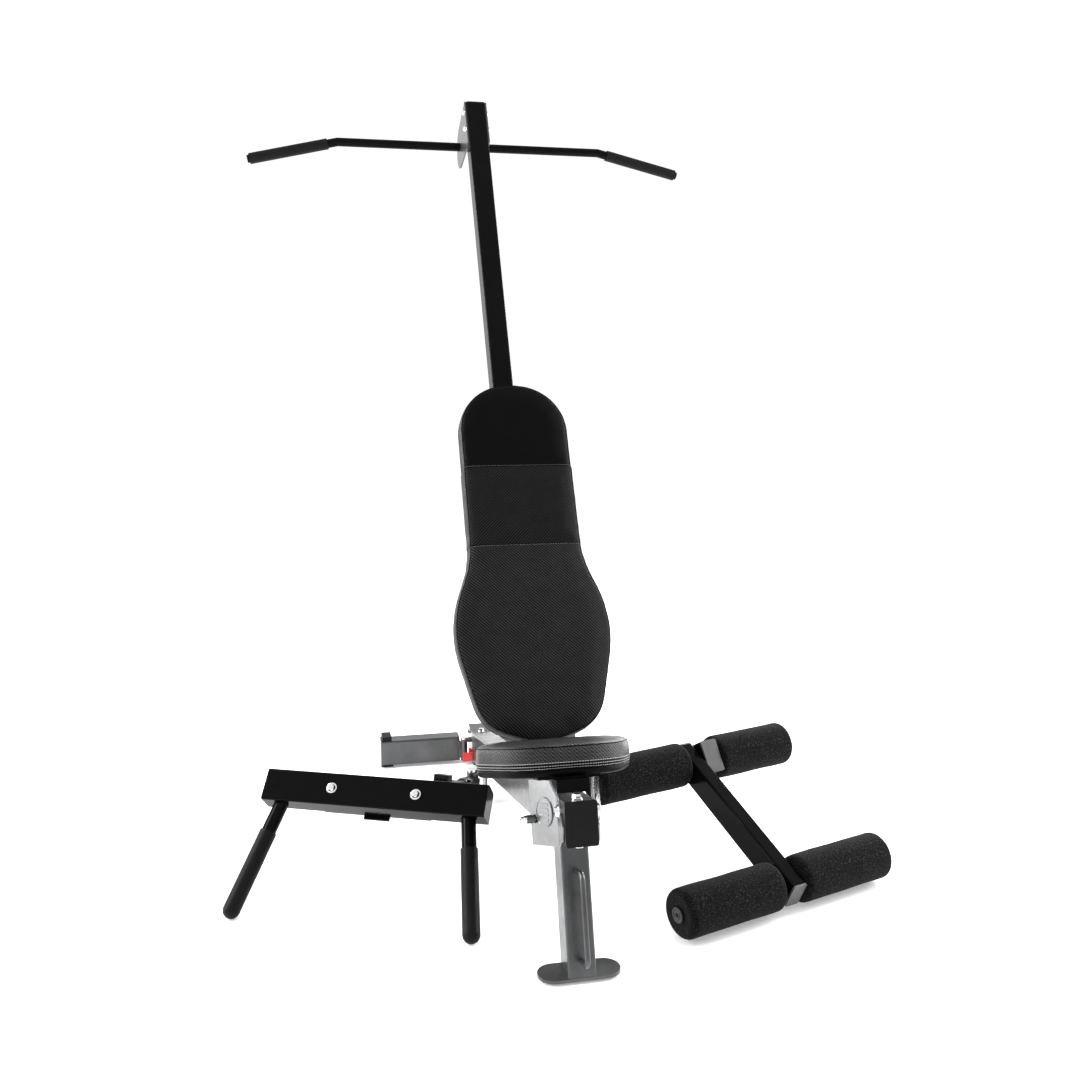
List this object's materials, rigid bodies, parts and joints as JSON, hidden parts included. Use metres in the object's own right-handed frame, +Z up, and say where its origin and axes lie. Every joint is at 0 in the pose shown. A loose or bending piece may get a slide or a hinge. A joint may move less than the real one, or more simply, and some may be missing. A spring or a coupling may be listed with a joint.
{
  "type": "multi station home gym",
  "caption": "Home gym: adjustable padded bench with a mast and chin bar, a dip bar on a swing arm and a foam roller leg arm.",
  "frame": {"origin": "centre of the front foot plate's underside, on the floor", "axes": "+X to the bench's right seen from its front, +Y to the rear, +Z up"},
  "size_m": [1.3979, 1.3585, 1.7923],
  "materials": {
    "frame_grey": "satin charcoal powder coat",
    "plate_silver": "satin silver coat",
    "gloss_black": "gloss black powder coat",
    "chrome": "polished",
    "black_rubber": "matte",
    "black_plastic": "matte",
    "grey_plastic": "matte",
    "red_dip": "dipped vinyl",
    "board": "plywood under a dust cover",
    "vinyl": "woven carbon look vinyl",
    "foam": "closed cell foam skin"
  },
  "bodies": {
    "frame": {"spine_tube": "frame_grey", "spine_front_cap": "black_plastic", "spine_front_bolt": "chrome", "front_leg": "frame_grey", "foot_plate": "frame_grey", "leg_grab_handle": "frame_grey", "rear_hub": "frame_grey", "hub_bolts": "chrome", "foot_hinge_pins": "chrome", "back_hinge_ears": "frame_grey", "back_pivot_bolt": "chrome", "incline_bracket": "frame_grey", "incline_pin_housing": "frame_grey", "arm_yoke_left": "frame_grey", "arm_yoke_right": "frame_grey", "arm_pins": "chrome"},
    "rear_foot_left_body": {"rear_foot_left": "frame_grey", "rear_foot_boot_left": "black_rubber"},
    "rear_foot_right_body": {"rear_foot_right": "frame_grey", "rear_foot_boot_right": "black_rubber"},
    "lock_lever_left_body": {"lock_lever_left": "red_dip"},
    "lock_lever_right_body": {"lock_lever_right": "red_dip"},
    "seat": {"seat_plate_left": "plate_silver", "seat_plate_right": "plate_silver", "seat_cross_plate": "gloss_black", "seat_riser": "gloss_black", "seat_medallions": "plate_silver", "seat_pivot_bolt": "chrome", "seat_board": "board", "seat_pad": "vinyl", "seat_pin_housing": "frame_grey"},
    "seat_pin_body": {"seat_pull_pin": "chrome"},
    "incline_pin_body": {"incline_pull_pin": "black_plastic"},
    "backrest": {"mast_tube": "gloss_black", "mast_cap": "black_plastic", "incline_quadrant": "frame_grey", "backrest_mounts": "frame_grey", "backrest_board": "board", "backrest_pad": "vinyl", "chin_plates": "frame_grey", "chin_plate_bolts": "chrome", "chin_bar": "gloss_black", "chin_grips": "black_rubber"},
    "dip_station": {"dip_arm": "frame_grey", "dip_bumper": "black_rubber", "dip_mount_plate": "gloss_black", "dip_beam": "gloss_black", "dip_bolts": "chrome", "dip_handles": "gloss_black", "dip_grips": "black_rubber"},
    "leg_station": {"leg_arm": "gloss_black", "leg_arm_cap": "grey_plastic", "upper_axle": "gloss_black"},
    "leg_link": {"link_tube": "gloss_black", "link_end_cap": "grey_plastic", "lower_axle": "gloss_black"},
    "roller_ul": {"roller_upper_left": "foam"},
    "roller_ur": {"roller_upper_right": "foam"},
    "roller_ll": {"roller_lower_left": "foam"},
    "roller_lr": {"roller_lower_right": "foam"}
  },
  "joints": [
    {"name": "backrest_incline", "type": "hinge", "parent": "frame", "child": "backrest", "pos_m": [0, 0.382, 0.3], "axis": [1, 0, 0], "range_deg": [-60, 18]},
    {"name": "seat_tilt", "type": "hinge", "parent": "frame", "child": "seat", "pos_m": [0, 0.022, 0.304], "axis": [1, 0, 0], "range_deg": [0, 17]},
    {"name": "rear_foot_left_fold", "type": "hinge", "parent": "frame", "child": "rear_foot_left_body", "pos_m": [-0.046, 1.15, 0.04], "axis": [0, 0, 1], "range_deg": [0, 55]},
    {"name": "rear_foot_right_fold", "type": "hinge", "parent": "frame", "child": "rear_foot_right_body", "pos_m": [0.046, 1.15, 0.04], "axis": [0, 0, 1], "range_deg": [-55, 0]},
    {"name": "lock_lever_left_press", "type": "hinge", "parent": "frame", "child": "lock_lever_left_body", "pos_m": [-0.031, 1.12, 0.044], "axis": [-1, 0, 0], "range_deg": [0, 20], "stiffness_Nm_per_rad": 0.6, "springref_deg": -11.46},
    {"name": "lock_lever_right_press", "type": "hinge", "parent": "frame", "child": "lock_lever_right_body", "pos_m": [0.031, 1.12, 0.044], "axis": [-1, 0, 0], "range_deg": [0, 20], "stiffness_Nm_per_rad": 0.6, "springref_deg": -11.46},
    {"name": "seat_pin_pull", "type": "slide", "parent": "seat", "child": "seat_pin_body", "axis": [-1, 0, 0], "range_m": [0, 0.01], "stiffness_N_per_m": 400, "springref_m": -0.005},
    {"name": "incline_pin_pull", "type": "slide", "parent": "frame", "child": "incline_pin_body", "axis": [1, 0, 0], "range_m": [0, 0.01], "stiffness_N_per_m": 400, "springref_m": -0.005},
    {"name": "dip_arm_swing", "type": "hinge", "parent": "frame", "child": "dip_station", "pos_m": [-0.065, 0.87, 0.045], "axis": [0, 0, 1], "range_deg": [-35, 0]},
    {"name": "leg_arm_swing", "type": "hinge", "parent": "frame", "child": "leg_station", "pos_m": [0.065, 0.87, 0.045], "axis": [0, 0, 1], "range_deg": [0, 30]},
    {"name": "leg_link_lift", "type": "hinge", "parent": "leg_station", "child": "leg_link", "pos_m": [0.3833, 0.4742, 0.2064], "axis": [-0.9483, -0.3173, 0], "range_deg": [0, 80]},
    {"name": "roller_upper_left_spin", "type": "hinge", "parent": "leg_station", "child": "roller_ul", "pos_m": [0.3833, 0.4742, 0.2064], "axis": [0.9483, 0.3173, 0], "continuous": true},
    {"name": "roller_upper_right_spin", "type": "hinge", "parent": "leg_station", "child": "roller_ur", "pos_m": [0.3833, 0.4742, 0.2064], "axis": [0.9483, 0.3173, 0], "continuous": true},
    {"name": "roller_lower_left_spin", "type": "hinge", "parent": "leg_link", "child": "roller_ll", "pos_m": [0.4857, 0.168, 0.05], "axis": [0.9483, 0.3173, 0], "continuous": true},
    {"name": "roller_lower_right_spin", "type": "hinge", "parent": "leg_link", "child": "roller_lr", "pos_m": [0.4857, 0.168, 0.05], "axis": [0.9483, 0.3173, 0], "continuous": true}
  ]
}
